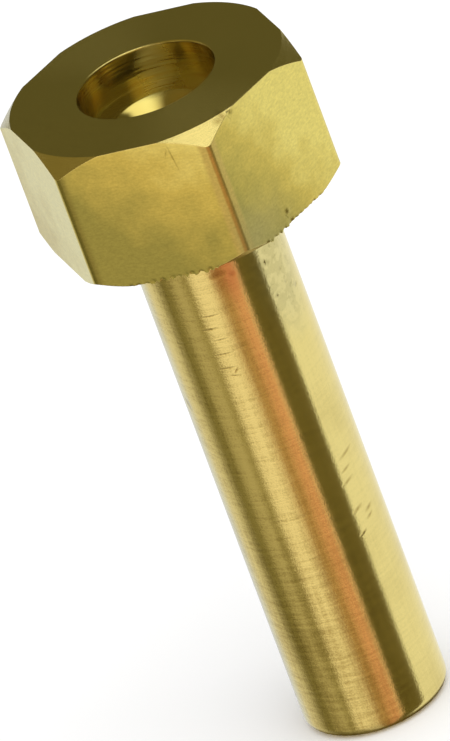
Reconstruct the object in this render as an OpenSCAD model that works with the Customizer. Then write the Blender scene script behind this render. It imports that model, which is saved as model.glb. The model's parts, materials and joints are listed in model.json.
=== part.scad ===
// Insert nut: a hexagonal head with a counterbored hole, on a long plain shank.
// It is turned in one piece from hexagonal brass bar.
// The origin is the middle of the shank's end face, and +Z runs up the axis to the head.

/* [Head] */
// Hexagon size across the flats, from 1 1/8 inch bar
hex_af = 28.58; // [24:0.01:36]
// Radius of the bar's six corners
corner_r = 0.95; // [0.2:0.05:3]
// Height of the head, from its shoulder to its top face
head_h = 15.5; // [8:0.1:30]
// How far the top chamfer runs down each corner
top_chamfer_h = 1.75; // [0.2:0.05:3.5]
// Slope of the top chamfer, measured from the top face
top_chamfer_angle = 45; // [15:1:60]
// How far the shoulder chamfer runs up each corner
shoulder_chamfer_h = 1.1; // [0.2:0.05:3.5]
// Slope of the shoulder chamfer, measured from the shoulder
shoulder_chamfer_angle = 37; // [15:1:60]

/* [Hole] */
// Diameter of the counterbore in the top face
counterbore_d = 14.8; // [11:0.1:20]
// Depth of the counterbore
counterbore_depth = 4.2; // [1:0.1:7]
// Diameter of the countersink's mouth, in the counterbore's floor
countersink_d = 9.4; // [7:0.1:10.5]
// Angle between the countersink's sides
countersink_angle = 90; // [60:1:120]
// Diameter of the bore that runs on to the shank's end, from a 1/4 inch drill
bore_d = 6.35; // [3:0.01:9]
// Width of the edge break at both mouths of the hole
mouth_break = 0.2; // [0.05:0.05:0.8]

/* [Shank] */
// Overall length, from the shank's end to the top face
total_len = 76.3; // [50:0.1:120]
// Diameter of the shank
shank_d = 15.7; // [13:0.1:22]
// Radius that rounds over the edge of the shank's end
end_round_r = 1.3; // [0.1:0.05:1.5]
// Radius that the turning tool leaves between the shank and the shoulder
shoulder_fillet_r = 0.4; // [0.1:0.05:0.8]

/* [Hidden] */
$fn = 96;

// How far a cut runs past the face it opens
clear_cut = 1;
shoulder_z = total_len - head_h;
// The corner rounds stand this far proud of the flats, which then trim them to clean edges
round_proud = 0.01;
corner_centre_r = (hex_af / 2 - corner_r + round_proud) / cos(30);
corner_reach = corner_centre_r + corner_r;
// Each flat runs half this hexagon's side past its middle, to where the rounds take over
flat_end_r = norm([hex_af / 2, corner_centre_r / 2]);

// The bar's section: a hexagon whose tips are taken back to a small round on each corner
module bar_section() {
    intersection() {
        circle(d = hex_af / cos(30), $fn = 6);
        union() {
            circle(flat_end_r);
            for (turn = [0 : 60 : 300])
                rotate(turn) translate([corner_centre_r, 0]) circle(corner_r);
        }
    }
}

// The turned outline that chamfers the head's corners at the top face and at the shoulder
module head_turning() {
    top_run = top_chamfer_h / tan(top_chamfer_angle);
    shoulder_run = shoulder_chamfer_h / tan(shoulder_chamfer_angle);
    rotate_extrude()
        polygon([
            [0, 0],
            [corner_reach - shoulder_run, 0],
            [corner_reach, shoulder_chamfer_h],
            [corner_reach, head_h - top_chamfer_h],
            [corner_reach - top_run, head_h],
            [0, head_h]
        ]);
}

module head() {
    intersection() {
        linear_extrude(head_h) bar_section();
        head_turning();
    }
}

// The corner between two edges at the origin that a round of radius r leaves empty
module spandrel(r) {
    difference() {
        square(r);
        translate([r, r]) circle(r);
    }
}

// The plain shank: rounded over at its end, with a fillet where it meets the shoulder
module shank() {
    shank_r = shank_d / 2;
    rotate_extrude() {
        difference() {
            square([shank_r, shoulder_z + clear_cut]);
            translate([shank_r, 0]) mirror([1, 0]) spandrel(end_round_r);
        }
        translate([shank_r, shoulder_z]) mirror([0, 1]) spandrel(shoulder_fillet_r);
    }
}

// Everything that the drill, the countersink and the boring tool take out
module hole() {
    bore_r = bore_d / 2;
    countersink_r = countersink_d / 2;
    counterbore_r = counterbore_d / 2;
    floor_z = total_len - counterbore_depth;
    countersink_depth = (countersink_r - bore_r) / tan(countersink_angle / 2);
    rotate_extrude()
        polygon([
            [0, -clear_cut],
            [bore_r + mouth_break + clear_cut, -clear_cut],
            [bore_r, mouth_break],
            [bore_r, floor_z - countersink_depth],
            [countersink_r, floor_z],
            [counterbore_r, floor_z],
            [counterbore_r, total_len - mouth_break],
            [counterbore_r + mouth_break + clear_cut, total_len + clear_cut],
            [0, total_len + clear_cut]
        ]);
}

module insert_nut() {
    color("#B59B4C")
        difference() {
            union() {
                shank();
                translate([0, 0, shoulder_z]) head();
            }
            hole();
        }
}

insert_nut();
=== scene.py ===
import json
import math

import bmesh
import bpy
import numpy as np
from mathutils import Matrix, Vector, noise


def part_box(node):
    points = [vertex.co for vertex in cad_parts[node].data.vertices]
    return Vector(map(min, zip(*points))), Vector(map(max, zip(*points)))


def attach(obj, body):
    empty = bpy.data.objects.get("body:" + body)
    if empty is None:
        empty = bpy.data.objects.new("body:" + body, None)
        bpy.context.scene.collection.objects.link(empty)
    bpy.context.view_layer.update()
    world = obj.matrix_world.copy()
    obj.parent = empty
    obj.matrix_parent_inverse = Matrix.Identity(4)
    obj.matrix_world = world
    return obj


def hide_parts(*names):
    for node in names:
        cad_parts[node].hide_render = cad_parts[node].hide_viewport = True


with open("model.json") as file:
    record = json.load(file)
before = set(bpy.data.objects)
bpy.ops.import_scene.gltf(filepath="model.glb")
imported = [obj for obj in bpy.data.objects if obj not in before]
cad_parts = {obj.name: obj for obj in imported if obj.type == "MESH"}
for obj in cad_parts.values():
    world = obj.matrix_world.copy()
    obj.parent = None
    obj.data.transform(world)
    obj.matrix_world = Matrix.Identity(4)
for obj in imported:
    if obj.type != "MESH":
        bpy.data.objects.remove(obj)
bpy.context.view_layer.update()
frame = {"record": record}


# ---- The hexagon bar -----------------------------------------------------------------------------
# The nut is cut from drawn hexagon bar of free-cutting brass, with its corners rounded by the die.
# The head keeps the bar's section, so the mesh is a ring of columns that stand round this outline.
# Sizes in this file are in millimetres, and angles in radians but where they are called degrees.

MM = 0.001
corner_reach, flat_reach, head_top = (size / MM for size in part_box("insert_nut")[1])
corner_round = 0.95
corner_centre = corner_reach - corner_round
sixth = math.radians(60)

round_columns = 13
flat_columns = 100
swing = np.radians(np.linspace(-30, 30, round_columns))
round_turns = np.arctan2(corner_round * np.sin(swing), corner_centre + corner_round * np.cos(swing))
flat_end = corner_centre / 2
along_flat = np.linspace(-flat_end, flat_end, flat_columns + 2)[1:-1]
flat_turns = sixth / 2 + np.arctan2(along_flat, flat_reach)
turns = np.concatenate([np.append(round_turns, flat_turns) + sixth * side for side in range(6)])
columns = len(turns)

from_corner = (turns + sixth / 2) % sixth - sixth / 2
round_half = np.sqrt(np.clip(corner_round**2 - (corner_centre * np.sin(from_corner)) ** 2, 0, None))
to_flat = flat_reach / np.cos(sixth / 2 - np.abs(from_corner))
to_round = corner_centre * np.cos(from_corner) + round_half
rounding_error = 1e-9
on_round = np.abs(from_corner) <= round_turns.max() + rounding_error
bar_reach = np.where(on_round, np.minimum(to_round, to_flat), to_flat)

rows = []


def row(radius, height, finish="turned"):
    """Adds one ring of points, with the finish of the faces between it and the next ring."""
    rows.append((radius * np.ones(columns), height * np.ones(columns), finish))


# ---- The hole ------------------------------------------------------------------------------------
# Drilled right through, then bored out to a flat-bottomed counterbore, whose floor is countersunk
# down to the drilled hole. The mouths are broken by a touch of the tool.

mounts = {mount["name"]: mount for mount in frame["record"]["mounts"]}
shoulder_z = mounts["shoulder"]["pos_m"][2] / MM
shank_radius = mounts["shank_outside"]["dims"]["r_mm"]
bore_radius = mounts["through_bore"]["dims"]["r_mm"]
counterbore_radius = mounts["counterbore"]["dims"]["r_mm"]
mouth_break = 0.2
wall_top = head_top - mouth_break
floor_z = wall_top - mounts["counterbore"]["dims"]["length_mm"]
countersink_radius = 4.7
countersink_z = floor_z - (countersink_radius - bore_radius)
countersink_lip = 0.03
floor_corner = 0.006

for share in (0, 0.003, 0.5, 0.99, 1):
    row(bore_radius, mouth_break + share * (countersink_z - mouth_break), "bored")
for share in (0.03, 0.25, 0.5, 0.75, 0.97):
    depth = share * (countersink_radius - bore_radius)
    row(bore_radius + depth, countersink_z + depth, "bored")
row(countersink_radius, floor_z - countersink_lip / 2, "bored")
row(countersink_radius + countersink_lip, floor_z, "bored")
for share in (0.03, 0.35, 0.65, 0.998):
    run = counterbore_radius - floor_corner - countersink_radius
    row(countersink_radius + share * run, floor_z, "bored")
for turn in np.radians((0, 30, 60, 90)):
    across, rise = math.sin(turn), 1 - math.cos(turn)
    row(counterbore_radius - floor_corner * (1 - across), floor_z + floor_corner * rise, "bored")
for share in (0.001, 0.3, 0.6, 0.97, 1):
    run = wall_top - floor_z - floor_corner
    row(counterbore_radius, floor_z + floor_corner + share * run, "bored")
for turn in np.radians((30, 60, 90)):
    flare = mouth_break * (1 - math.cos(turn))
    row(counterbore_radius + flare, wall_top + mouth_break * math.sin(turn))

# ---- The head ------------------------------------------------------------------------------------
# Its top is faced and its corners are chamfered in the lathe, deeper at the top than at the
# shoulder. The flats between them keep the drawn skin of the bar. The parting tool has left a
# ragged burr along the shoulder's edge, and the head has been knocked here and there.

top_chamfer, top_slope = 1.75, math.radians(45)
shoulder_chamfer, shoulder_slope = 1.1, math.radians(37)
edge_ease = 0.06


def chamfered_edge(depth, slope):
    """Rings over one end of the head, from the end face out to the bar, as (radius, depth) pairs."""
    face_radius = corner_reach - depth / math.tan(slope)
    cut = np.clip(bar_reach - face_radius, 0, None) / math.cos(slope)
    eased = edge_ease * (math.tan(slope / 2) + math.tan(math.pi / 4 - slope / 2))
    straight = np.clip(cut - eased, 0, None)
    outer = np.array([bar_reach - edge_ease, edge_ease + straight * math.sin(slope)])
    inner = outer - np.array([straight * math.cos(slope), straight * math.sin(slope)])

    def ease(centre, turn):
        return centre + edge_ease * np.array([[math.sin(turn)], [-math.cos(turn)]])

    rings = [ease(inner, turn) for turn in np.linspace(0, slope, 3)]
    near, far = ease(inner, slope), ease(outer, slope)
    rings += [near + share * (far - near) for share in (0.04, 0.5, 0.96)]
    rings += [ease(outer, turn) for turn in np.linspace(slope, math.pi / 2, 4)]
    return rings


top_rings = chamfered_edge(top_chamfer, top_slope)
shoulder_rings = chamfered_edge(shoulder_chamfer, shoulder_slope)
mouth_radius = counterbore_radius + mouth_break
for share in (0.01, 0.35, 0.7, 0.99):
    row(mouth_radius + share * (top_rings[0][0] - mouth_radius), head_top)
for radius, depth in top_rings[:-1]:
    row(radius, head_top - depth)
flat_top = head_top - top_rings[-1][1]
flat_bottom = shoulder_z + shoulder_rings[-1][1]
# The rings stand closer together where the head has been knocked and where the burr hangs
for drop in (0, 0.12, 0.24, 0.36, 0.48, 0.6, 0.8, 1.2, 2.0, 3.5, 5.0, 6.5, 8.0, 9.3, 10.3):
    row(bar_reach, flat_top - drop, "drawn")
for rise in (1.8, 1.6, 1.4, 1.25, 1.1, 0.95, 0.8, 0.65, 0.5, 0.38, 0.26, 0.14, 0.07, 0):
    row(bar_reach, flat_bottom + rise, "drawn" if rise else "turned")
for radius, depth in shoulder_rings[-2::-1]:
    row(radius, shoulder_z + depth)

# ---- The shank -----------------------------------------------------------------------------------
# A long plain cylinder turned from the same bar, with the tool's small fillet under the head. Its
# free end is faced flat and the edge there is rounded over.

fillet = 0.4
end_round = 1.3
fillet_radius = shank_radius + fillet
for share in (0.03, 0.5, 0.97):
    row(shoulder_rings[0][0] + share * (fillet_radius - shoulder_rings[0][0]), shoulder_z)
for turn in np.radians((0, 22.5, 45, 67.5, 90)):
    row(fillet_radius - fillet * math.sin(turn), shoulder_z - fillet * (1 - math.cos(turn)))
for share in (0.004, 0.2, 0.4, 0.6, 0.8, 0.996):
    row(shank_radius, shoulder_z - fillet + share * (end_round - shoulder_z + fillet))
for turn in np.radians(np.linspace(0, 90, 13)):
    row(shank_radius - end_round * (1 - math.cos(turn)), end_round * (1 - math.sin(turn)))
end_face = shank_radius - end_round
for share in (0.03, 0.97, 1):
    row(end_face + share * (bore_radius + mouth_break - end_face), 0)

# ---- The nut in one piece ------------------------------------------------------------------------
# The real nut is one piece of brass, so the rings of points are joined into one closed skin. It
# stands in for the solid nut, and carries the burr and the knocks as shape.

ring = np.stack([np.cos(turns), np.sin(turns)], axis=1)
levels = [np.column_stack([ring * radius[:, None], height]) for radius, height, _ in rows]
points = np.concatenate(levels)


def flat_axes(facing_degrees):
    """Unit vectors straight out of the flat that faces that way, and across it."""
    turn = math.radians(facing_degrees)
    outward = np.array([math.cos(turn), math.sin(turn), 0])
    return outward, np.array([-outward[1], outward[0], 0])


# The burr hangs from the edge between a flat and the shoulder: which way the flat faces in degrees,
# where the burr starts and ends across it, and how far it hangs
burrs = ((-90, -2.9, 4.7, 0.42), (-30, -8.0, -1.0, 0.24))
burr_spread = 0.26
burr_rise = 0.05
lumps_per_mm, crumbs_per_mm = 1.9, 3.4
for facing, start, end, hang in burrs:
    outward, sideways = flat_axes(facing)
    for point in points:
        across = point @ sideways
        rim = Vector((point @ outward - flat_reach, point[2] - shoulder_z - burr_rise))
        if rim.length < 4 * burr_spread and start - 0.6 < across < end + 0.6:
            ragged = noise.noise(Vector((across * lumps_per_mm, facing, 0)))
            ragged += 0.6 * noise.noise(Vector((across * crumbs_per_mm, facing, 3)))
            ends = min(1, max(0, across - start + 0.5))
            ends *= min(1, max(0, end + 0.2 - across) * 4)
            drop = hang * ends * max(0, 0.3 + 1.4 * ragged)
            point[2] -= drop * math.exp(-((rim.length / burr_spread) ** 2))

# Knocks from other metal, the deeper ones: which way the flat faces in degrees, where across it, how
# high, how wide and how deep. A knock of less than no depth is a lump of burr.
knocks = (
    (-30, -4.0, 75.95, 0.32, 0.1),
    (-30, -1.1, 62.2, 0.32, -0.16),
    (-30, -1.0, 60.95, 0.4, 0.2),
    (-30, -7.7, 61.0, 0.35, -0.16),
    (-30, -5.0, 60.9, 0.35, -0.14),
)
# Between its hanging pieces the burr is a row of small beads with nicks between them
nicks = 18
nick_gap = 0.85
for facing in (-90, -30):
    for nick in range(nicks):
        wander = 0.6 * noise.noise(Vector((nick * 1.7, facing, 5)))
        across = (nick - (nicks - 1) / 2) * nick_gap + wander
        width = 0.2 + 0.16 * noise.noise(Vector((nick * 2.3, facing, 9)))
        knocks += ((facing, across, shoulder_z + burr_rise, width, 0.6 * width),)
for facing, across, height, width, depth in knocks:
    outward, sideways = flat_axes(facing)
    centre = outward * flat_reach + sideways * across + np.array([0, 0, height])
    away = np.linalg.norm(points - centre, axis=1) / width
    points -= np.outer(depth * np.exp(-(away**2) * 2), outward)

finishes = ["turned", "drawn", "bored"]
nut_mesh = bpy.data.meshes.new("insert_nut_dressed")
shaping = bmesh.new()
verts = [shaping.verts.new(point * MM) for point in points]
for index, (_, _, finish) in enumerate(rows):
    here, there = index * columns, (index + 1) % len(rows) * columns
    for column in range(columns):
        after = (column + 1) % columns
        corners = (here + column, there + column, there + after, here + after)
        face = shaping.faces.new([verts[corner] for corner in corners])
        face.material_index = finishes.index(finish)
        face.smooth = True
weld_gap = 0.002
bmesh.ops.remove_doubles(shaping, verts=shaping.verts, dist=weld_gap * MM)
bmesh.ops.recalc_face_normals(shaping, faces=shaping.faces)
shaping.to_mesh(nut_mesh)
shaping.free()
nut = bpy.data.objects.new("insert_nut_dressed", nut_mesh)
bpy.context.scene.collection.objects.link(nut)
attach(nut, "root")
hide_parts("insert_nut")

# ---- Turned brass --------------------------------------------------------------------------------
# Free-cutting brass as the lathe leaves it: bright pale yellow, with fine rings from the tool.
# The rings spread a reflection along the shank and keep it crisp across it, so the eye sees long
# bands.


def linear(hex_colour):
    """An sRGB hex colour as linear red, green, blue and alpha."""
    parts = [int(hex_colour[i : i + 2], 16) / 255 for i in (1, 3, 5)]
    return [c / 12.92 if c <= 0.04045 else ((c + 0.055) / 1.055) ** 2.4 for c in parts] + [1.0]


def add(tree, kind, inputs=(), out=0, **settings):
    """Adds a node with its settings, fills its inputs with values or other nodes' outputs, and gives
    one of its own outputs."""
    node = tree.nodes.new("ShaderNode" + kind)
    for name, value in settings.items():
        setattr(node, name, value)
    for socket, value in dict(inputs).items():
        if isinstance(value, bpy.types.NodeSocket):
            tree.links.new(value, node.inputs[socket])
        else:
            node.inputs[socket].default_value = value
    return node.outputs[out] if node.outputs else None


def brass(name, anisotropic, marks=()):
    """A metal material. Gives its nodes, its shader, the place in millimetres, that place's parts, the
    place along the tool's path, and the marks on it from 0 to 1. Each mark has the way it faces in
    degrees, its distance from the axis that way, across and up, its tilt in degrees, and its half
    width and height."""
    material = bpy.data.materials.new(name)
    material.use_nodes = True
    nut_mesh.materials.append(material)
    tree = material.node_tree
    shader = tree.nodes["Principled BSDF"]
    shader.inputs["Metallic"].default_value = 1.0
    shader.inputs["Anisotropic"].default_value = anisotropic
    shader.inputs["Anisotropic Rotation"].default_value = 0.25
    if anisotropic:
        tangent = add(tree, "Tangent", direction_type="RADIAL", axis="Z")
        tree.links.new(tangent, shader.inputs["Tangent"])
    metres = add(tree, "TexCoord", out="Object")
    place = add(tree, "VectorMath", {0: metres, 3: 1 / MM}, operation="SCALE")
    part = add(tree, "SeparateXYZ", {0: place}).node.outputs
    flat_place = add(tree, "VectorMath", {0: place, 1: (1, 1, 0)}, operation="MULTIPLY")
    radius = add(tree, "VectorMath", {0: flat_place}, out="Value", operation="LENGTH")
    path = add(tree, "Math", {0: part["Z"], 1: radius}, operation="SUBTRACT")
    tool_space = add(tree, "CombineXYZ", {0: part["X"], 1: part["Y"], 2: path})
    marked = None
    mark_depth = 1.5
    for facing, outward, across, height, tilt, half_width, half_height in marks:
        angle = math.radians(facing)
        centre = (
            outward * math.cos(angle) - across * math.sin(angle),
            outward * math.sin(angle) + across * math.cos(angle),
            height,
        )
        turned_to = (math.radians(tilt), 0, angle)
        spread = (mark_depth, half_width, half_height)
        local = add(
            tree, "Mapping", {0: place, 1: centre, 2: turned_to, 3: spread}, vector_type="TEXTURE"
        )
        mark = add(tree, "TexGradient", {0: local}, out=1, gradient_type="SPHERICAL")
        if marked:
            mark = add(tree, "Math", {0: mark, 1: marked}, operation="MAXIMUM")
        marked = mark
    return tree, shader, place, part, tool_space, marked


# Scratches high on the shank, dents and pits under the head, strokes of a file low on the right, a
# rub at the left, and the knocked corner of the head
turned_marks = (
    (-85.2, shank_radius, 0, 45.3, -40, 0.14, 0.55),
    (-87.6, shank_radius, 0, 44.8, 75, 0.12, 0.75),
    (-90.0, shank_radius, 0, 52.1, 0, 1.3, 0.16),
    (-93.5, shank_radius, 0, 50.6, 0, 1.1, 0.18),
    (-88.5, shank_radius, 0, 49.2, 0, 1.0, 0.13),
    (-90.0, shank_radius, 0, 47.5, 0, 1.4, 0.14),
    (-90.5, shank_radius, 0, 45.8, 0, 1.2, 0.16),
    (-63.8, shank_radius, 0, 55.8, 0, 0.55, 0.5),
    (-73.4, shank_radius, 0, 56.4, 0, 1.0, 0.5),
    (-20.3, shank_radius, 0, 51.5, 0, 0.3, 0.28),
    (-22.0, shank_radius, 0, 53.2, 0, 0.35, 0.3),
    (-35.4, shank_radius, 0, 55.1, 0, 0.3, 0.5),
    (-31.8, shank_radius, 0, 54.8, 0, 0.25, 0.35),
    (-34.8, shank_radius, 0, 51.0, 0, 0.3, 0.3),
    (-8.4, shank_radius, 0, 50.1, 0, 0.5, 0.35),
    (-25.1, shank_radius, 0, 30.9, -80, 0.26, 1.5),
    (-31.0, shank_radius, 0, 29.4, -80, 0.24, 1.0),
    (-33.3, shank_radius, 0, 28.1, -79, 0.26, 1.1),
    (-33.8, shank_radius, 0, 24.7, -77, 0.3, 1.0),
    (-22.1, shank_radius, 0, 23.9, -78, 0.3, 0.9),
    (-23.8, shank_radius, 0, 23.1, -78, 0.24, 0.8),
    (-36.0, shank_radius, 0, 22.0, -74, 0.2, 0.8),
    (-147.0, shank_radius, 0, 41.0, 20, 0.5, 1.2),
    (-49.0, 14.95, 0, 76.05, 0, 0.55, 0.7),
    (-51.5, 15.15, 0, 75.85, 0, 0.9, 0.4),
)
tree, shader, place, part, tool_space, marked = brass("turned_brass", 1.0, turned_marks)
# Dulled patches about 6 mm across
patches = add(tree, "TexNoise", {"Vector": place, "Scale": 0.16, "Detail": 6.0})
patches = add(tree, "MapRange", {0: patches, 1: 0.45, 2: 0.75, 3: 0.0, 4: 0.2})
# Rings 0.4 mm apart with finer ones between them, each some 3 mm long. The tool's real feed is about
# 0.1 mm a turn, and they are drawn this coarse to show.
ring_space = add(tree, "VectorMath", {0: tool_space, 1: (0.3, 0.3, 2.5)}, operation="MULTIPLY")
rings = add(tree, "TexNoise", {"Vector": ring_space, "Scale": 1.0, "Detail": 5.0, "Roughness": 0.62})
# Torn grain, drawn at 0.2 mm, about four times as coarse as it is, to show
grain = add(tree, "TexNoise", {"Vector": place, "Scale": 5.0, "Detail": 2.0})
# The rings darken the colour in their grooves: dirt held there, and painted shade of the grooves
groove_dirt_and_shade = add(tree, "MapRange", {0: rings, 1: 0.3, 2: 0.7, 3: 0.3, 4: -0.26})
# The side that has lain on the bench has rubbed smoother than the other
rough_side = (-0.34, -0.94, 0)
unrubbed = add(tree, "VectorMath", {0: place, 1: rough_side}, out="Value", operation="DOT_PRODUCT")
unrubbed = add(tree, "MapRange", {0: unrubbed, 1: 2.5, 2: 7.5, 3: 0.22, 4: 1.0})
groove_dirt_and_shade = add(tree, "Math", {0: groove_dirt_and_shade, 1: unrubbed}, operation="MULTIPLY")
specks = add(tree, "MapRange", {0: grain, 1: 0.35, 2: 0.65, 3: 0.16, 4: -0.16})
specks = add(tree, "Math", {0: specks, 1: unrubbed}, operation="MULTIPLY")
# Tarnish has run down the shank in faint streaks, 0.5 mm wide and some 15 mm long
streak_space = add(tree, "VectorMath", {0: place, 1: (2.0, 2.0, 0.07)}, operation="MULTIPLY")
streaks = add(tree, "TexNoise", {"Vector": streak_space, "Scale": 1.0, "Detail": 2.0})
streaks = add(tree, "MapRange", {0: streaks, 1: 0.35, 2: 0.65, 3: -0.14, 4: 0.14})
# The lower half has been handled more, and is duller
toward_end = add(tree, "MapRange", {0: part["Z"], 1: 32.0, 2: 12.0, 3: 0.0, 4: 0.24})
soiling = add(tree, "Math", {0: streaks, 1: toward_end}, operation="ADD")
soiling = add(tree, "Math", {0: soiling, 1: unrubbed}, operation="MULTIPLY")
soiling = add(tree, "Math", {0: specks, 1: soiling}, operation="ADD")
tint = add(tree, "Math", {0: patches, 1: groove_dirt_and_shade}, operation="ADD")
tint = add(tree, "Math", {0: tint, 1: soiling}, operation="ADD")
# The head's end faces were cut with a finer feed than the shank
finer = add(tree, "MapRange", {0: part["Z"], 1: shoulder_z - 1, 2: shoulder_z, 3: 1.0, 4: 0.2})
tint = add(tree, "Math", {0: tint, 1: finer}, operation="MULTIPLY")
# Rubbing shows on the shank, and hardly on the head
rubbed = add(tree, "Math", {0: 1.0, 1: unrubbed}, operation="SUBTRACT")
rubbed = add(tree, "Math", {0: rubbed, 1: finer}, operation="MULTIPLY")

# Just under the head a copper colour is painted on the front of the shank: a painted reflection, redder
# and darker than the brass
copper_reflection_way = math.radians(-67)
copper_reflection_height = 57.5
copper_reflection_spread = (3.0, 2.2, 6.0)
copper_reflection_at = (shank_radius * math.cos(copper_reflection_way), shank_radius * math.sin(copper_reflection_way), copper_reflection_height)
copper_reflection_turn = (0, 0, copper_reflection_way)
in_copper_reflection = add(
    tree, "Mapping", {0: place, 1: copper_reflection_at, 2: copper_reflection_turn, 3: copper_reflection_spread}, vector_type="TEXTURE"
)
painted_copper_reflection = add(tree, "TexGradient", {0: in_copper_reflection}, out=1, gradient_type="SPHERICAL")
painted_copper_reflection = add(tree, "MapRange", {0: painted_copper_reflection, 1: 0.0, 2: 0.7, 4: 0.6}, interpolation_type="SMOOTHSTEP")

# Near the head one side has been etched by a splash: blotches of 1.3 mm with darker rims, and pits
# of 0.5 mm
splash_way = math.radians(-24)
splash_height = 55.0
splash_spread = (6.0, 4.4, 11.0)
splash_at = (shank_radius * math.cos(splash_way), shank_radius * math.sin(splash_way), splash_height)
splash_turn = (0, 0, splash_way)
in_splash = add(
    tree, "Mapping", {0: place, 1: splash_at, 2: splash_turn, 3: splash_spread}, vector_type="TEXTURE"
)
etched = add(tree, "TexGradient", {0: in_splash}, out=1, gradient_type="SPHERICAL")
etched = add(tree, "MapRange", {0: etched, 1: 0.05, 2: 0.5})
blotches = add(tree, "TexNoise", {"Vector": place, "Scale": 0.75, "Detail": 3.0, "Distortion": 0.4})
from_rim = add(tree, "Math", {0: blotches, 1: 0.54}, operation="SUBTRACT")
from_rim = add(tree, "Math", {0: from_rim}, operation="ABSOLUTE")
rims = add(
    tree, "MapRange", {0: from_rim, 2: 0.06, 3: 0.12, 4: 0.0}, interpolation_type="SMOOTHSTEP"
)
pits = add(tree, "TexNoise", {"Vector": place, "Scale": 2.0, "Detail": 1.0})
pits = add(tree, "MapRange", {0: pits, 1: 0.62, 2: 0.75, 3: 0.0, 4: 0.35})
blotted = add(tree, "MapRange", {0: blotches, 1: 0.42, 2: 0.6, 3: 0.12, 4: 0.4})
blotted = add(tree, "Math", {0: blotted, 1: rims}, operation="ADD")
blotted = add(tree, "Math", {0: blotted, 1: pits}, operation="ADD")
etching = add(tree, "Math", {0: blotted, 1: etched}, operation="MULTIPLY")

# Clean brass first, then what has soiled it and the painted shade in the grooves, the painted copper
# reflection under the head, the pale film of the splash and its blotches
tint = add(tree, "Math", {0: marked, 1: 0.75, 2: tint}, operation="MULTIPLY_ADD", use_clamp=True)
clean, soiled_and_shaded = linear("#E8D68E"), linear("#A28C4A")
colour = add(tree, "Mix", {0: tint, 6: clean, 7: soiled_and_shaded}, out=2, data_type="RGBA")
colour = add(tree, "Mix", {0: painted_copper_reflection, 6: colour, 7: linear("#CC986A")}, out=2, data_type="RGBA")
etching_shown = add(tree, "Math", {0: etching, 1: 1.3}, operation="MULTIPLY", use_clamp=True)
paled = add(tree, "Math", {0: etched, 1: 0.4}, operation="MULTIPLY")
colour = add(tree, "Mix", {0: paled, 6: colour, 7: linear("#DCD6AC")}, out=2, data_type="RGBA")
colour = add(
    tree, "Mix", {0: etching_shown, 6: colour, 7: linear("#BCB17A")}, out=2, data_type="RGBA"
)
tree.links.new(colour, shader.inputs["Base Color"])

# Where the shank has been rubbed it is more polished, and its rings are shallower
rough = add(tree, "Math", {0: rubbed, 1: -0.11, 2: 0.22}, operation="MULTIPLY_ADD")
tree.links.new(rough, shader.inputs["Roughness"])
ring_depth = add(tree, "Math", {0: 1.0, 1: rubbed}, operation="SUBTRACT")
ring_height = add(tree, "Math", {0: rings, 1: ring_depth}, operation="MULTIPLY")
# The shank is a touch out of true every 0.6 mm or so along it
waver_space = add(tree, "VectorMath", {0: tool_space, 1: (0.9, 0.9, 1.6)}, operation="MULTIPLY")
waver = add(tree, "TexNoise", {"Vector": waver_space, "Scale": 1.0, "Detail": 3.0})
waver = add(tree, "Math", {0: waver, 1: unrubbed}, operation="MULTIPLY")
bump = add(tree, "Bump", {"Height": ring_height, "Distance": 0.03 * MM, "Strength": 1.0})
bump = add(tree, "Bump", {"Height": waver, "Distance": 0.012 * MM, "Strength": 1.0, "Normal": bump})
bump = add(tree, "Bump", {"Height": grain, "Distance": 0.009 * MM, "Strength": 1.0, "Normal": bump})
pitted = add(tree, "Math", {0: etching, 1: 0.3, 2: marked}, operation="MULTIPLY_ADD")
bump = add(
    tree, "Bump", {"Height": pitted, "Distance": -0.03 * MM, "Strength": 1.0, "Normal": bump}
)
tree.links.new(bump, shader.inputs["Normal"])

# ---- Drawn brass ---------------------------------------------------------------------------------
# The bar's own skin, pressed smooth by the drawing die and dulled since: satin, a deeper yellow,
# and clouded with tarnish towards the shoulder.

# Fine scratches at the chamfer of two flats, and one by the shoulder
drawn_marks = (
    (-90, flat_reach, 4.2, 74.2, 7, 0.13, 2.0),
    (-90, flat_reach, 3.7, 74.9, -22, 0.1, 0.7),
    (-30, flat_reach, -4.3, 75.6, 25, 0.12, 0.7),
    (-30, flat_reach, -3.6, 75.8, -30, 0.12, 0.6),
    (-30, flat_reach, -1.5, 61.7, 30, 0.12, 0.5),
)
tree, shader, place, part, _, marked = brass("drawn_brass", 0.0, drawn_marks)

# Tarnish grows towards the shoulder and towards one side of a flat. Each of the six flats has been
# handled its own amount, and the handled ones are the more tarnished.
turn = add(tree, "Math", {0: part["Y"], 1: part["X"]}, operation="ARCTAN2")
sixths = add(tree, "Math", {0: turn, 1: sixth}, operation="DIVIDE")
along_flat = add(tree, "Math", {0: sixths}, operation="FRACT")
side = add(tree, "Math", {0: sixths}, operation="FLOOR")
first_side = math.radians(222)
side_turn = add(tree, "Math", {0: side, 1: 2 * sixth, 2: first_side}, operation="MULTIPLY_ADD")
handled = add(tree, "Math", {0: side_turn}, operation="COSINE")
handled = add(tree, "MapRange", {0: handled, 1: -1.0, 2: 1.0})
fade = add(tree, "Math", {0: handled, 1: 2.0}, operation="MULTIPLY", use_clamp=True)
low_down = add(tree, "MapRange", {0: part["Z"], 1: shoulder_z, 2: head_top, 3: 0.5, 4: -0.5})
sideways_lean = add(tree, "Math", {0: handled, 1: -0.5, 2: 0.88}, operation="MULTIPLY_ADD")
lean = add(tree, "MapRange", {0: along_flat, 3: 1.0, 4: -1.0})
lean = add(tree, "Math", {0: lean, 1: sideways_lean}, operation="MULTIPLY")
lean = add(tree, "Math", {0: low_down, 1: 0.9, 2: lean}, operation="MULTIPLY_ADD")
lean = add(tree, "Math", {0: lean, 1: fade}, operation="MULTIPLY")
lean = add(tree, "Math", {0: handled, 1: 0.75, 2: lean}, operation="MULTIPLY_ADD")
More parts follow.
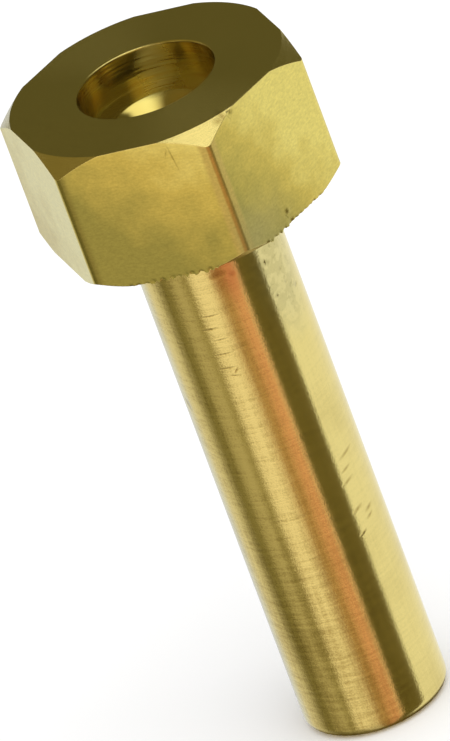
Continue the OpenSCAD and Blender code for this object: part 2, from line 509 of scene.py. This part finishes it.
# Clouds of tarnish 3 mm across, with finer ones in them
cloud = add(tree, "TexNoise", {"Vector": place, "Scale": 0.3, "Detail": 4.0, "Roughness": 0.52})
cloud = add(tree, "MapRange", {0: cloud, 3: -0.4, 4: 0.4})
tarnish = add(tree, "Math", {0: lean, 1: cloud}, operation="ADD", use_clamp=True)
colour = add(tree, "ValToRGB", {0: tarnish})
stops = colour.node.color_ramp.elements
stops[0].color = linear("#E6D67C")
stops[1].color = linear("#A49B51")
stops.new(0.42).color = linear("#D1BC60")

# One corner of the bar has rubbed against others and gone pale
toward_corner = (math.cos(-sixth), math.sin(-sixth), 0)
matt = add(tree, "VectorMath", {0: place, 1: toward_corner}, out="Value", operation="DOT_PRODUCT")
matt = add(tree, "MapRange", {0: matt, 1: 15.8, 2: 16.1}, interpolation_type="SMOOTHSTEP")
colour = add(tree, "Mix", {0: matt, 6: colour, 7: linear("#CEB768")}, out=2, data_type="RGBA")

# The corner to its left has gathered a line of grime 1.5 mm wide, just round on the flat
grime_x = -flat_end - 0.1
from_grime = add(tree, "Math", {0: part["X"], 1: -grime_x}, operation="ADD")
from_grime = add(tree, "Math", {0: from_grime}, operation="ABSOLUTE")
grimed = add(
    tree, "MapRange", {0: from_grime, 2: 0.75, 3: 1.0, 4: 0.0}, interpolation_type="SMOOTHSTEP"
)
near_side = add(tree, "MapRange", {0: part["Y"], 1: -13.0, 2: -13.8})
grimed = add(tree, "Math", {0: grimed, 1: near_side}, operation="MULTIPLY")
colour = add(tree, "Mix", {0: grimed, 6: colour, 7: linear("#8F8442")}, out=2, data_type="RGBA")

# The splash that has etched the shank has left a grey film on the flat above it
film_way = math.radians(-30)
film_across = -6.6
film_height = 62.4
film_spread = (1.4, 9.0, 6.6)
film_at = (
    flat_reach * math.cos(film_way) - film_across * math.sin(film_way),
    flat_reach * math.sin(film_way) + film_across * math.cos(film_way),
    film_height,
)
film_turn = (0, 0, film_way)
in_film = add(
    tree, "Mapping", {0: place, 1: film_at, 2: film_turn, 3: film_spread}, vector_type="TEXTURE"
)
filmed = add(tree, "TexGradient", {0: in_film}, out=1, gradient_type="SPHERICAL")
film = add(tree, "Math", {0: cloud, 1: filmed}, operation="ADD")
film = add(tree, "MapRange", {0: film, 1: 0.0, 2: 0.7}, interpolation_type="SMOOTHSTEP")
film = add(tree, "Math", {0: film, 1: filmed}, operation="MULTIPLY")
film = add(tree, "Math", {0: film, 1: 0.8}, operation="MULTIPLY", use_clamp=True)
colour = add(tree, "Mix", {0: film, 6: colour, 7: linear("#B2A76C")}, out=2, data_type="RGBA")

# Scuffs round the bar, drawn 0.6 mm long and 0.2 mm wide, about twice as coarse as they are, to show
scuff_space = add(tree, "VectorMath", {0: place, 1: (1.6, 1.6, 4.5)}, operation="MULTIPLY")
hatch = add(tree, "TexNoise", {"Vector": scuff_space, "Scale": 1.0, "Detail": 5.0})
scuffs = add(tree, "MapRange", {0: hatch, 1: 0.3, 2: 0.7, 3: 0.91, 4: 1.06})
# The metal's own grain, drawn at 0.25 mm, some ten times as coarse as it is, to show
grain = add(tree, "TexNoise", {"Vector": place, "Scale": 4.0, "Detail": 2.0})
grain = add(tree, "MapRange", {0: grain, 1: 0.35, 2: 0.65, 3: -0.045, 4: 0.045})
scuffs = add(tree, "Math", {0: scuffs, 1: grain}, operation="ADD")
scuffs = add(tree, "Math", {0: marked, 1: -0.2, 2: scuffs}, operation="MULTIPLY_ADD")
colour = add(tree, "VectorMath", {0: colour, 3: scuffs}, operation="SCALE")
tree.links.new(colour, shader.inputs["Base Color"])

# Tarnish and the matt corner are the rougher, and the scuffs can just be felt
rough = add(tree, "MapRange", {0: tarnish, 3: 0.28, 4: 0.38})
rough = add(tree, "Math", {0: matt, 1: 0.07, 2: rough}, operation="MULTIPLY_ADD")
tree.links.new(rough, shader.inputs["Roughness"])
bump = add(tree, "Bump", {"Height": hatch, "Distance": 0.012 * MM, "Strength": 1.0})
bump = add(
    tree, "Bump", {"Height": marked, "Distance": -0.015 * MM, "Strength": 1.0, "Normal": bump}
)
tree.links.new(bump, shader.inputs["Normal"])

# ---- Bored brass ---------------------------------------------------------------------------------
# The hole's walls, cut by a boring bar that has chattered: coarser rings than outside. The metal is
# cleaner in here, and the walls mirror each other in dark and gold.
tree, shader, place, _, tool_space, _ = brass("bored_brass", 0.55)
shader.inputs["Metallic"].default_value = 0.985
# The bar has fed 0.3 mm a turn, and each ring is several millimetres long before it wanders
feed = 0.3
bore_rings = (0.15, 0.15, 1 / feed)
ring_space = add(tree, "VectorMath", {0: tool_space, 1: bore_rings}, operation="MULTIPLY")
rings = add(tree, "TexNoise", {"Vector": ring_space, "Scale": 1.0, "Detail": 2.0})
# The crests are paler than the grooves: dirt held in the grooves, and a painted glint on the crests
crest_glint_and_groove_dirt = add(tree, "MapRange", {0: rings, 1: 0.3, 2: 0.65})
groove_colour, crest_colour_and_glint = linear("#CAB160"), linear("#D6C97C")
colour = add(
    tree, "Mix", {0: crest_glint_and_groove_dirt, 6: groove_colour, 7: crest_colour_and_glint}, out=2, data_type="RGBA"
)
tree.links.new(colour, shader.inputs["Base Color"])

# In one place, some 5 mm across, the bar has chattered and torn the rings, which scatter the light
torn_way = math.radians(95)
torn_depth = 2.6
torn_spread = (5, 2.6, 3.4)
torn_at = (
    counterbore_radius * math.cos(torn_way),
    counterbore_radius * math.sin(torn_way),
    head_top - torn_depth,
)
torn_turn = (0, 0, torn_way)
in_chatter = add(
    tree, "Mapping", {0: place, 1: torn_at, 2: torn_turn, 3: torn_spread}, vector_type="TEXTURE"
)
chatter = add(tree, "TexGradient", {0: in_chatter}, out=1, gradient_type="SPHERICAL")
ring_tops = add(tree, "MapRange", {0: rings, 1: 0.3, 2: 0.6})
torn = add(tree, "Math", {0: chatter, 1: ring_tops}, operation="MULTIPLY")
rough = add(tree, "MapRange", {0: torn, 1: 0.0, 2: 0.5, 3: 0.15, 4: 0.6})
tree.links.new(rough, shader.inputs["Roughness"])
bump = add(tree, "Bump", {"Height": rings, "Distance": 0.02 * MM, "Strength": 1.0})
tree.links.new(bump, shader.inputs["Normal"])

# ---- Studio --------------------------------------------------------------------------------------
# A white floor in a white tent, with a soft box over it that lights the floor and leaves the nut's
# shadow there. Cards stand round the nut for the metal to mirror.
bpy.ops.mesh.primitive_plane_add(size=20)
floor = bpy.context.object
floor.name = "studio_floor"
floor.visible_glossy = False
paper = bpy.data.materials.new("white_paper")
paper.use_nodes = True
paper_shader = paper.node_tree.nodes["Principled BSDF"]
paper_shader.inputs["Base Color"].default_value = linear("#FAFAFA")
paper_shader.inputs["Roughness"].default_value = 0.9
paper_shader.inputs["Specular IOR Level"].default_value = 0.0
floor.data.materials.append(paper)

# The cards in order round the nut, from behind it by the left, the front and the right: where each
# ends, in degrees to the right of the camera's side, how soft that end is, and its colour
cards = (
    ("white wall behind", -138, 12, "#E6EDFC"),
    ("white wall on the left", -109, 22, "#E4DFCF"),
    ("khaki flag on the left", -80, 14, "#776F43"),
    ("grey card", -56, 4, "#BCB394"),
    ("gap beside it", -45, 8, "#958B60"),
    ("lit card in front", -12, 18, "#FCF1DE"),
    ("shaded copper card", 8, 14, "#B0895D"),
    ("copper card", 24.5, 3, "#E2A588"),
    ("its pale edge", 29.5, 3, "#EAC6AC"),
    ("khaki flag on the right", 68, 3, "#6B6138"),
    ("white wall on the right", 180, 0, "#F6F6EC"),
)
view_azimuth = math.radians(17.43)
camera_side = view_azimuth - math.pi / 2


def toward(around, up=0.0):
    """Unit vector to a place round the nut, by its angles right of the camera's side and above level."""
    turn = camera_side + around
    return Vector((math.cos(turn) * math.cos(up), math.sin(turn) * math.cos(up), math.sin(up)))


tent = bpy.data.worlds.new("tent")
bpy.context.scene.world = tent
tent.use_nodes = True
tent.cycles.sampling_method = "NONE"
tree = tent.node_tree
tree.nodes.clear()
direction = add(tree, "TexCoord", out="Generated")
heading = add(tree, "SeparateXYZ", {0: direction}).node.outputs
around = add(tree, "Math", {0: heading["Y"], 1: heading["X"]}, operation="ARCTAN2")
to_the_right = add(tree, "Math", {0: around, 1: camera_side}, operation="SUBTRACT")
wrapped = add(tree, "Math", {0: to_the_right, 1: math.pi, 2: -math.pi}, operation="WRAP")
share = add(tree, "MapRange", {0: wrapped, 1: -math.pi, 2: math.pi})
ring_of_cards = add(tree, "ValToRGB", {0: share})
ramp = ring_of_cards.node.color_ramp
ramp.elements.remove(ramp.elements[1])
ramp.elements[0].color = linear(cards[0][3])
for (_, end, softness, colour), (_, _, _, next_colour) in zip(cards, cards[1:]):
    ramp.elements.new((end - softness / 2 + 180) / 360).color = linear(colour)
    ramp.elements.new((end + softness / 2 + 180) / 360).color = linear(next_colour)

# The ceiling is unlit, but for a lighter patch over the camera's shoulder and the soft box
over_the_shoulder = toward(0.05, 0.5)
facing_patch = add(
    tree, "VectorMath", {0: direction, 1: over_the_shoulder}, out="Value", operation="DOT_PRODUCT"
)
patch = add(tree, "MapRange", {0: facing_patch, 1: 0.87, 2: 0.99}, interpolation_type="SMOOTHSTEP")
front_left = toward(-1.3)
facing_left = add(
    tree, "VectorMath", {0: direction, 1: front_left}, out="Value", operation="DOT_PRODUCT"
)
facing_left = add(tree, "MapRange", {0: facing_left, 1: 0.1, 2: 0.8})
dim, less_dim = linear("#5E5A39"), linear("#85784A")
unlit = add(tree, "Mix", {0: facing_left, 6: dim, 7: less_dim}, out=2, data_type="RGBA")
overhead = add(tree, "Mix", {0: patch, 6: unlit, 7: linear("#C4BA92")}, out=2, data_type="RGBA")
to_soft_box = toward(0.7)
facing_box = add(
    tree, "VectorMath", {0: direction, 1: to_soft_box}, out="Value", operation="DOT_PRODUCT"
)
box_side = add(tree, "MapRange", {0: facing_box, 1: 0.0, 2: 0.46}, interpolation_type="SMOOTHSTEP")
box_rise = add(
    tree, "MapRange", {0: heading["Z"], 1: 0.63, 2: 0.75}, interpolation_type="SMOOTHSTEP"
)
box = add(tree, "Math", {0: box_side, 1: box_rise}, operation="MULTIPLY")
box_light = (1.5, 1.48, 1.24, 1)
overhead = add(tree, "Mix", {0: box, 6: overhead, 7: box_light}, out=2, data_type="RGBA")

# The cards in front hang under the lamp, so they are brighter towards the top
front = toward(-0.7)
facing_front = add(
    tree, "VectorMath", {0: direction, 1: front}, out="Value", operation="DOT_PRODUCT"
)
in_front = add(tree, "MapRange", {0: facing_front, 1: -0.1, 2: 0.5})
lit_top = add(tree, "MapRange", {0: heading["Z"], 1: -0.85, 2: -0.05, 3: 0.6, 4: 1.4})
lit_top = add(tree, "Mix", {0: in_front, 2: 1.0, 3: lit_top}, data_type="FLOAT")
# The copper one is short, and plain cloth hangs over it
to_copper = toward(0.25)
facing_copper = add(
    tree, "VectorMath", {0: direction, 1: to_copper}, out="Value", operation="DOT_PRODUCT"
)
over_copper = add(tree, "MapRange", {0: facing_copper, 1: 0.93, 2: 0.965})
copper_top = add(tree, "MapRange", {0: heading["Z"], 1: -0.2, 2: -0.08})
over_copper = add(tree, "Math", {0: over_copper, 1: copper_top}, operation="MULTIPLY")
cloth = linear("#D2C8A2")
hung = add(tree, "Mix", {0: over_copper, 6: ring_of_cards, 7: cloth}, out=2, data_type="RGBA")
hung_cards = add(tree, "VectorMath", {0: hung, 3: lit_top}, operation="SCALE")
card_tops = add(tree, "Math", {0: in_front, 1: -0.22, 2: heading["Z"]}, operation="MULTIPLY_ADD")
ceiling = add(tree, "MapRange", {0: card_tops, 1: -0.14, 2: 0.06}, interpolation_type="SMOOTHSTEP")
walls_and_ceiling = add(
    tree, "Mix", {0: ceiling, 6: hung_cards, 7: overhead}, out=2, data_type="RGBA"
)
# Low down behind the nut the floor is in its own shade
down_and_back = (-0.42 * math.cos(camera_side), -0.42 * math.sin(camera_side), -0.91)
facing_down = add(
    tree, "VectorMath", {0: direction, 1: down_and_back}, out="Value", operation="DOT_PRODUCT"
)
below = add(tree, "MapRange", {0: facing_down, 1: 0.79, 2: 0.87}, interpolation_type="SMOOTHSTEP")
shade = linear("#5A4E2C")
all_round = add(
    tree, "Mix", {0: below, 6: walls_and_ceiling, 7: shade}, out=2, data_type="RGBA"
)

# Only what the metal mirrors sees the cards. The tent is plain white for all the rest.
plain = add(tree, "Background", {0: (1, 1, 1, 1), 1: 1.0})
mirrored = add(tree, "Background", {0: all_round, 1: 1.05})
glossy_ray = add(tree, "LightPath", out="Is Glossy Ray")
seen = add(tree, "MixShader", {0: glossy_ray, 1: plain, 2: mirrored})
add(tree, "OutputWorld", {0: seen})

middle = Vector((0, 0, head_top / 2 * MM))
soft_box = bpy.data.lights.new("soft_box", "AREA")
soft_box.shape = "RECTANGLE"
soft_box.size = 0.6
soft_box.size_y = 0.4
brightness = 1.4
soft_box.energy = brightness * math.pi * soft_box.size * soft_box.size_y
lamp = bpy.data.objects.new("soft_box", soft_box)
bpy.context.scene.collection.objects.link(lamp)
lamp_distance = 0.6
lamp.location = middle + toward(math.radians(36), math.radians(62)) * lamp_distance
lamp.visible_glossy = False
lamp.rotation_euler = (middle - lamp.location).to_track_quat("-Z", "Y").to_euler()

# ---- Camera --------------------------------------------------------------------------------------
# A long lens from well back, so that the view is nearly parallel. It looks down on the nut a little,
# and is rolled so that the nut leans to the left.
view_elevation = math.radians(27.0)
view_roll = math.radians(20.6)
lens = bpy.data.cameras.new("camera")
lens.lens = 1000.0
frame_height = 76.16 * MM
distance = frame_height * lens.lens / lens.sensor_width
level_right = Vector((math.cos(view_azimuth), math.sin(view_azimuth), 0))
back = toward(0, view_elevation)
level_up = back.cross(level_right)
right = math.cos(view_roll) * level_right - math.sin(view_roll) * level_up
up = math.sin(view_roll) * level_right + math.cos(view_roll) * level_up
aim_left, aim_up = 3.83, 2.12
camera_at = middle + back * distance - right * aim_left * MM + up * aim_up * MM
camera = bpy.data.objects.new("camera", lens)
bpy.context.scene.collection.objects.link(camera)
axes = [[right[i], up[i], back[i], camera_at[i]] for i in range(3)]
camera.matrix_world = Matrix(axes + [[0, 0, 0, 1]])
lens.clip_start = 0.1
lens.clip_end = 30.0
bpy.context.scene.camera = camera

bpy.context.scene.view_settings.view_transform = "Standard"
